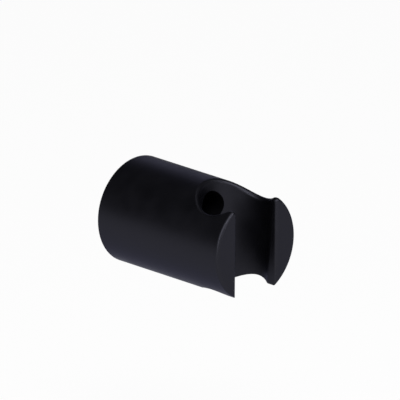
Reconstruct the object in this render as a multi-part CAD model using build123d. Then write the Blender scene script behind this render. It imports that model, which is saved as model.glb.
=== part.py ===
from build123d import *
from math import sqrt
import os

# Hand shower holder: a solid round bar that is screwed to the wall by its back end.
# A conical seat is bored down through the bar near its front, and a slot in the front
# face, narrower than the seat, lets the hose in between two jaws.
# Two screw channels are drilled from the back wall of the seat to the wall face.
# Millimetres. The origin is the centre of the wall face, +Y points into the wall and +Z up.

# Bar
bar_diameter = 36.0
bar_length = 56.0
back_edge_break = 0.4

# Seat for the hand shower's cone: its diameter at the height of the bar's top line,
# and how far it is wider than the slot, on each side, at the bar's bottom line
seat_mouth_diameter = 24.0
seat_foot_hold = 1.5

# Hose slot: its width, the round of the two lips where it opens into the seat,
# and the length of jaw in front of the lips at the upper rim
slot_width = 18.3
slot_lip_round = 2.6
jaw_land = 1.15

# Rounds of the mouth: one on the upper rim, where the cone is dropped in, and a smaller one
# around the two jaw faces. The lower rim, under the cone, stays as it is cut.
upper_rim_round = 1.2
jaw_edge_round = 1.1

# Screw channels: room for the screw heads, a floor under them and a hole through the floor
channel_diameter = 10.2
channel_spacing = 18.2
channel_floor = 5.0
screw_hole_diameter = 5.5

# Radii that follow from the sizes, and the radius that the seat gains with each millimetre of height
bar_radius = bar_diameter / 2
slot_half_width = slot_width / 2
mouth_radius = seat_mouth_diameter / 2
foot_radius = slot_half_width + seat_foot_hold
seat_spread = (mouth_radius - foot_radius) / bar_diameter

# The lips touch the seat and the slot's walls. That sets how far they reach in front of the seat's axis
# at the height of the upper rim, and with it the place of the axis.
rim_height = sqrt(bar_radius**2 - slot_half_width**2)
rim_radius = mouth_radius - seat_spread * (bar_radius - rim_height)
lip_reach = sqrt((rim_radius + slot_lip_round) ** 2 - (slot_half_width + slot_lip_round) ** 2)
seat_axis_from_front = lip_reach + jaw_land
seat_y = seat_axis_from_front - bar_length


def make_bar():
    """The bare bar, from the wall face to the front."""
    return extrude(Plane.XZ * Circle(bar_radius), bar_length)


def make_mouth():
    """Seat and hose slot as one cutting shape, with the two lips between them rounded."""
    cut_height = bar_diameter + 2 * slot_lip_round
    growth = seat_spread * slot_lip_round
    seat = Pos(0, seat_y, 0) * Cone(foot_radius - growth, mouth_radius + growth, cut_height)
    slot_length = 2 * seat_axis_from_front
    slot = Pos(0, seat_y - slot_length / 2, 0) * Box(slot_width, slot_length, cut_height)
    mouth = seat + slot
    lips = new_edges(seat, slot, combined=mouth)
    return fillet(lips, slot_lip_round)


def make_channel(height):
    """A screw channel at a height: the screw's hole, and the head's channel from the floor to the seat."""
    screw_hole = extrude(Plane.XZ * Pos(0, height) * Circle(screw_hole_diameter / 2), -seat_y)
    head_start = Plane.XZ.offset(channel_floor)
    head_way = extrude(head_start * Pos(0, height) * Circle(channel_diameter / 2), -seat_y - channel_floor)
    return screw_hole + head_way


def round_mouth(body, bar, mouth):
    """Rounds the upper rim first, then the outlines of both jaw faces."""
    rims = new_edges(bar, mouth, combined=body)
    upper_rim = rims.filter_by_position(Axis.Z, bar_radius / 2, bar_diameter)
    body = fillet(upper_rim, upper_rim_round)
    jaw_faces = body.faces().sort_by(Axis.Y)[:2]
    return fillet(jaw_faces.edges(), jaw_edge_round)


def make_holder_body():
    """The whole holder, one solid."""
    bar = make_bar()
    mouth = make_mouth()
    body = round_mouth(bar - mouth, bar, mouth)
    wall_edge = body.edges().sort_by(Axis.Y)[-1]
    body = chamfer(wall_edge, back_edge_break)
    for side in (1, -1):
        body -= make_channel(side * channel_spacing / 2)
    return body


os.makedirs("parts", exist_ok=True)
export_step(make_holder_body(), "parts/holder_body.step")
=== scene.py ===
import math

import bmesh
import bpy
from mathutils import Matrix, Vector


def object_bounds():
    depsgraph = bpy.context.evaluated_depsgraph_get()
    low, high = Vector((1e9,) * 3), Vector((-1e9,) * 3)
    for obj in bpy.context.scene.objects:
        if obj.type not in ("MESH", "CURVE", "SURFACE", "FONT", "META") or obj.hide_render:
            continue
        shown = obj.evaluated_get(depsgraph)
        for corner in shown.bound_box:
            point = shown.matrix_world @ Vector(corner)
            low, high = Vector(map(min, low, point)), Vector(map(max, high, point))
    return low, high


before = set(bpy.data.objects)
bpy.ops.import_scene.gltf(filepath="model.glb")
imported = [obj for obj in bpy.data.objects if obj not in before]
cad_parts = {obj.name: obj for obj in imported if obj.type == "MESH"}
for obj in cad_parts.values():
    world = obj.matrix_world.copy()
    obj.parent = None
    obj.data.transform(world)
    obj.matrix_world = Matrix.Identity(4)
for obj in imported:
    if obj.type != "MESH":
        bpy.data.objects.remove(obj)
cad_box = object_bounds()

bl_info = {
    "name": "Hand shower holder",
    "version": (1, 0, 0),
    "blender": (4, 5, 0),
    "location": "3D View > Sidebar > Holder",
    "description": "Lacquers a turned hand shower holder and sets it on a white studio stage",
    "category": "Object",
}

MM = 0.001
BODY_NODE = "holder_body"

# Edges that bend more than this stay sharp; vertices closer than the gap are one vertex
SHARP_EDGE_ANGLE = math.radians(28)
WELD_GAP = 0.001 * MM

# How much finer detail the noise of the patches and of the orange peel has,
# and the two values between which most of a noise lies
PATCH_DETAIL = 3.0
PEEL_DETAIL = 2.0
NOISE_LOW = 0.3
NOISE_HIGH = 0.7

# Half the floor's width in metres, the strength at which an even glow is white,
# and how many times its own distance the camera sees
FLOOR_HALF_WIDTH = 6.0
WHITE_GLOW = 1.0
VIEW_REACH = 4

# Distance of the softboxes in metres. Each has a name, its azimuth and elevation from the holder in
# degrees, its width and height in metres, and its watts for each square metre divided by pi.
SOFTBOX_DISTANCE = 2.4
SOFTBOXES = (
    ("key_softbox", 8, 46, 1.0, 0.5, 17.0),
    ("fill_softbox", -45, 45, 1.2, 0.5, 12.7),
    ("left_softbox", -85, 28, 0.6, 0.9, 7.5),
    ("low_left_softbox", -63, 13, 0.6, 0.8, 7.4),
    ("low_front_softbox", 0, 15, 1.2, 0.6, 4.1),
    ("top_softbox", 0, 88, 1.2, 1.2, 2.1),
    ("rim_softbox", 135, 18, 1.2, 0.8, 1.15),
)


def linear(hex_colour):
    """An sRGB hex colour as linear red, green, blue and alpha."""
    shares = [int(hex_colour[i:i + 2], 16) / 255 for i in (0, 2, 4)]
    return [s / 12.92 if s <= 0.04045 else ((s + 0.055) / 1.055) ** 2.4 for s in shares] + [1.0]


def add_node(tree, kind, inputs=None, **settings):
    """Adds a node with its settings, and sets or links each named input."""
    node = tree.nodes.new(kind)
    for name, value in settings.items():
        setattr(node, name, value)
    for name, value in (inputs or {}).items():
        if isinstance(value, bpy.types.NodeSocket):
            tree.links.new(value, node.inputs[name])
        else:
            node.inputs[name].default_value = value
    return node


def bearing(azimuth, elevation):
    """The unit vector from the holder to an azimuth and elevation; azimuth 0 is straight in front."""
    level = math.cos(elevation)
    return Vector((math.sin(azimuth) * level, -math.cos(azimuth) * level, math.sin(elevation)))


class LacquerSettings(bpy.types.PropertyGroup):
    """Colour and surface of the lacquer"""

    colour: bpy.props.FloatVectorProperty(
        name="Lacquer colour",
        description="Black of the lacquer where the spray lies thick",
        subtype="COLOR", size=4, min=0, max=1, default=linear("29292F"))
    thin_colour: bpy.props.FloatVectorProperty(
        name="Thin coat colour",
        description="Black of the lacquer where the spray lies thin",
        subtype="COLOR", size=4, min=0, max=1, default=linear("2D2D33"))
    edge_colour: bpy.props.FloatVectorProperty(
        name="Edge reflection",
        description="What the rough coat keeps of a mirror's reflection at grazing angles",
        subtype="COLOR", size=4, min=0, max=1, default=linear("C5C5D1"))
    roughness: bpy.props.FloatProperty(
        name="Roughness",
        description="Mean roughness of the matt surface",
        subtype="FACTOR", min=0, max=1, default=0.44)
    roughness_spread: bpy.props.FloatProperty(
        name="Roughness spread",
        description="How far wet patches fall below the mean, and dry ones rise above it",
        subtype="FACTOR", min=0, max=0.2, default=0.03)
    patch_width: bpy.props.FloatProperty(
        name="Patch width",
        description="Distance between wetter and drier patches of the coat",
        unit="LENGTH", default=7 * MM)
    peel_width: bpy.props.FloatProperty(
        name="Orange peel width",
        description="Distance between the soft swells of the sprayed coat",
        unit="LENGTH", default=0.9 * MM)
    peel_depth: bpy.props.FloatProperty(
        name="Orange peel depth",
        description="Height of the soft swells of the sprayed coat",
        unit="LENGTH", default=0.002 * MM)


class StageSettings(bpy.types.PropertyGroup):
    """Floor, light level and camera"""

    floor_drop: bpy.props.FloatProperty(
        name="Floor drop",
        description="Depth of the floor under the bar's axis",
        unit="LENGTH", default=100 * MM)
    floor_colour: bpy.props.FloatVectorProperty(
        name="Floor colour",
        description="Colour of the paper floor",
        subtype="COLOR", size=4, min=0, max=1, default=linear("F4F4F4"))
    floor_evenness: bpy.props.FloatProperty(
        name="Floor evenness",
        description="How far the paper is an even white to the eye, instead of shaded by the lamps",
        subtype="FACTOR", min=0, max=1, default=0.9)
    room_level: bpy.props.FloatProperty(
        name="Room light",
        description="Even light from the room, where 1 is white",
        min=0, default=0.05)
    azimuth: bpy.props.FloatProperty(
        name="Azimuth",
        description="Camera's turn round the holder; 0 faces the slot",
        unit="ROTATION", default=math.radians(-44.964))
    elevation: bpy.props.FloatProperty(
        name="Elevation",
        description="Camera's height above the horizon",
        unit="ROTATION", default=math.radians(18.387))
    roll: bpy.props.FloatProperty(
        name="Roll",
        description="Camera's tilt to one side",
        unit="ROTATION", default=math.radians(0.429))
    view_width: bpy.props.FloatProperty(
        name="View width",
        description="Width of the picture at the wall face's centre",
        unit="LENGTH", default=131.789 * MM)
    aim_right: bpy.props.FloatProperty(
        name="Aim right",
        description="Picture's centre to the right of the wall face's centre",
        unit="LENGTH", default=21.059 * MM)
    aim_up: bpy.props.FloatProperty(
        name="Aim up",
        description="Picture's centre above the wall face's centre",
        unit="LENGTH", default=2.671 * MM)
    lens: bpy.props.FloatProperty(
        name="Lens",
        description="Focal length in millimetres, long enough to keep the bar's sides parallel",
        default=1200)


def make_lacquer(settings):
    """Matt black lacquer filled with graphite, sprayed on turned brass and stoved.

    The graphite reflects like a dark metal, so to the eye the coat is blue-black in its lights too.
    They are wide and soft. Close up the coat has drier and wetter patches and the faint swells of
    orange peel.
    """
    lacquer = bpy.data.materials.new("matt_black_graphite_lacquer_sprayed_on_brass")
    lacquer.use_nodes = True
    tree = lacquer.node_tree
    tree.nodes.clear()
    place = add_node(tree, "ShaderNodeTexCoord").outputs["Object"]
    patches = add_node(tree, "ShaderNodeTexNoise", {
        "Vector": place, "Scale": 1 / settings.patch_width, "Detail": PATCH_DETAIL}).outputs["Fac"]
    cover = add_node(tree, "ShaderNodeValToRGB", {"Fac": patches})
    cover.color_ramp.elements[0].color = settings.colour
    cover.color_ramp.elements[1].color = settings.thin_colour
    dryness = add_node(tree, "ShaderNodeMapRange", {
        "Value": patches, "From Min": NOISE_LOW, "From Max": NOISE_HIGH,
        "To Min": settings.roughness - settings.roughness_spread,
        "To Max": settings.roughness + settings.roughness_spread})
    peel = add_node(tree, "ShaderNodeTexNoise", {
        "Vector": place, "Scale": 1 / settings.peel_width, "Detail": PEEL_DETAIL})
    relief = add_node(tree, "ShaderNodeBump", {
        "Height": peel.outputs["Fac"], "Distance": settings.peel_depth, "Strength": 1.0})
    coat = add_node(tree, "ShaderNodeBsdfPrincipled", {
        "Base Color": cover.outputs["Color"], "Metallic": 1.0, "Specular Tint": settings.edge_colour,
        "Roughness": dryness.outputs["Result"], "Normal": relief.outputs["Normal"]})
    add_node(tree, "ShaderNodeOutputMaterial", {"Surface": coat.outputs["BSDF"]})
    return lacquer


def make_smoothing():
    """A geometry node group that joins the loose triangles and keeps only the true edges sharp."""
    group = bpy.data.node_groups.new("join_and_smooth", "GeometryNodeTree")
    for direction in ("INPUT", "OUTPUT"):
        group.interface.new_socket("Geometry", in_out=direction, socket_type="NodeSocketGeometry")
    loose = add_node(group, "NodeGroupInput")
    joined = add_node(group, "GeometryNodeMergeByDistance", {
        "Geometry": loose.outputs["Geometry"], "Distance": WELD_GAP})
    bare = add_node(group, "GeometryNodeRemoveAttribute", {
        "Geometry": joined.outputs["Geometry"], "Name": "custom_normal"})
    soft = add_node(group, "GeometryNodeSetShadeSmooth", {
        "Geometry": bare.outputs["Geometry"], "Shade Smooth": True}, domain="FACE")
    bend = add_node(group, "GeometryNodeInputMeshEdgeAngle")
    gentle = add_node(group, "FunctionNodeCompare", {
        "A": bend.outputs["Unsigned Angle"], "B": SHARP_EDGE_ANGLE}, operation="LESS_THAN")
    edged = add_node(group, "GeometryNodeSetShadeSmooth", {
        "Geometry": soft.outputs["Geometry"], "Shade Smooth": gentle.outputs["Result"]}, domain="EDGE")
    add_node(group, "NodeGroupOutput", {"Geometry": edged.outputs["Geometry"]})
    return group


class HOLDER_OT_lacquer_body(bpy.types.Operator):
    """Smooth the holder's body and give it its matt black lacquer"""

    bl_idname = "holder.lacquer_body"
    bl_label = "Lacquer the Body"

    def execute(self, context):
        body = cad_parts[BODY_NODE]
        smoothing = body.modifiers.new("Join and smooth", "NODES")
        smoothing.node_group = make_smoothing()
        shading = body.modifiers.new("Shade by face area", "WEIGHTED_NORMAL")
        shading.keep_sharp = True
        body.material_slots[0].material = make_lacquer(context.scene.holder_lacquer)
        return {"FINISHED"}


def make_paper(settings):
    """Matt white background paper, calendered smooth.

    To the eye, and in what reflects it, it is an almost even white that keeps a little of each
    shadow. That white isn't sampled as a lamp.
    """
    paper = bpy.data.materials.new("matt_white_background_paper_calendered")
    paper.use_nodes = True
    paper.cycles.emission_sampling = "NONE"
    tree = paper.node_tree
    tree.nodes.clear()
    ray = add_node(tree, "ShaderNodeLightPath").outputs
    seen = ray["Is Camera Ray"]
    for kind in ("Is Glossy Ray", "Is Transmission Ray"):
        either = add_node(tree, "ShaderNodeMath", {0: seen, 1: ray[kind]}, operation="MAXIMUM")
        seen = either.outputs["Value"]
    shaded = add_node(tree, "ShaderNodeBsdfDiffuse", {"Color": settings.floor_colour}).outputs["BSDF"]
    white = add_node(tree, "ShaderNodeEmission", {"Strength": WHITE_GLOW}).outputs["Emission"]
    even = add_node(tree, "ShaderNodeMixShader", {"Fac": settings.floor_evenness, 1: shaded, 2: white})
    sheet = add_node(tree, "ShaderNodeMixShader", {"Fac": seen, 1: shaded, 2: even.outputs["Shader"]})
    add_node(tree, "ShaderNodeOutputMaterial", {"Surface": sheet.outputs["Shader"]})
    return paper


def make_floor(settings):
    """A wide sheet of paper under the holder."""
    shape = bmesh.new()
    bmesh.ops.create_grid(shape, x_segments=1, y_segments=1, size=FLOOR_HALF_WIDTH,
                          matrix=Matrix.Translation((0, 0, -settings.floor_drop)))
    mesh = bpy.data.meshes.new("paper_floor")
    shape.to_mesh(mesh)
    shape.free()
    mesh.materials.append(make_paper(settings))
    floor = bpy.data.objects.new("paper_floor", mesh)
    bpy.context.scene.collection.objects.link(floor)


def hang_softbox(name, azimuth, elevation, width, height, level):
    """A soft lamp that faces the middle of the holder."""
    lamp = bpy.data.lights.new(name, "AREA")
    lamp.shape = "RECTANGLE"
    lamp.size = width
    lamp.size_y = height
    lamp.energy = level * math.pi * width * height
    stand = bpy.data.objects.new(name, lamp)
    towards = bearing(math.radians(azimuth), math.radians(elevation))
    stand.location = (cad_box[0] + cad_box[1]) / 2 + towards * SOFTBOX_DISTANCE
    stand.rotation_euler = towards.to_track_quat("Z", "Y").to_euler()
    bpy.context.scene.collection.objects.link(stand)


def set_room(level):
    """Even grey light from every side."""
    room = bpy.data.worlds.new("studio_room")
    room.use_nodes = True
    room.node_tree.nodes["Background"].inputs["Color"].default_value = (level, level, level, 1)
    bpy.context.scene.world = room


def aim_camera(settings):
    """A long lens that looks down on the slot's side of the holder, as in the photograph."""
    view = bpy.data.cameras.new("camera")
    view.lens = settings.lens
    back = bearing(settings.azimuth, settings.elevation)
    turn = back.to_track_quat("Z", "Y").to_matrix() @ Matrix.Rotation(settings.roll, 3, "Z")
    distance = settings.view_width * view.lens / view.sensor_width
    view.clip_end = VIEW_REACH * distance
    camera = bpy.data.objects.new("camera", view)
    camera.matrix_world = turn.to_4x4()
    camera.location = turn @ Vector((settings.aim_right, settings.aim_up, distance))
    bpy.context.scene.collection.objects.link(camera)
    bpy.context.scene.camera = camera


class HOLDER_OT_set_stage(bpy.types.Operator):
    """Lay the floor, hang the soft lamps and aim the camera"""

    bl_idname = "holder.set_stage"
    bl_label = "Set the Stage"

    def execute(self, context):
        settings = context.scene.holder_stage
        context.scene.view_settings.view_transform = "Standard"
        make_floor(settings)
        for softbox in SOFTBOXES:
            hang_softbox(*softbox)
        set_room(settings.room_level)
        aim_camera(settings)
        return {"FINISHED"}


class VIEW3D_PT_hand_shower_holder(bpy.types.Panel):
    """Settings and steps of the hand shower holder"""

    bl_label = "Hand Shower Holder"
    bl_space_type = "VIEW_3D"
    bl_region_type = "UI"
    bl_category = "Holder"

    def draw(self, context):
        layout = self.layout
        for settings in (context.scene.holder_lacquer, context.scene.holder_stage):
            box = layout.box()
            for name in settings.__annotations__:
                box.prop(settings, name)
        for operator in (HOLDER_OT_lacquer_body, HOLDER_OT_set_stage):
            layout.operator(operator.bl_idname)


CLASSES = (LacquerSettings, StageSettings, HOLDER_OT_lacquer_body, HOLDER_OT_set_stage,
           VIEW3D_PT_hand_shower_holder)


def register():
    for cls in CLASSES:
        bpy.utils.register_class(cls)
    bpy.types.Scene.holder_lacquer = bpy.props.PointerProperty(type=LacquerSettings)
    bpy.types.Scene.holder_stage = bpy.props.PointerProperty(type=StageSettings)


def unregister():
    del bpy.types.Scene.holder_stage
    del bpy.types.Scene.holder_lacquer
    for cls in reversed(CLASSES):
        bpy.utils.unregister_class(cls)


def main():
    """Builds the dressed holder and its stage."""
    register()
    bpy.ops.holder.lacquer_body()
    bpy.ops.holder.set_stage()


if __name__ == "__main__":
    main()
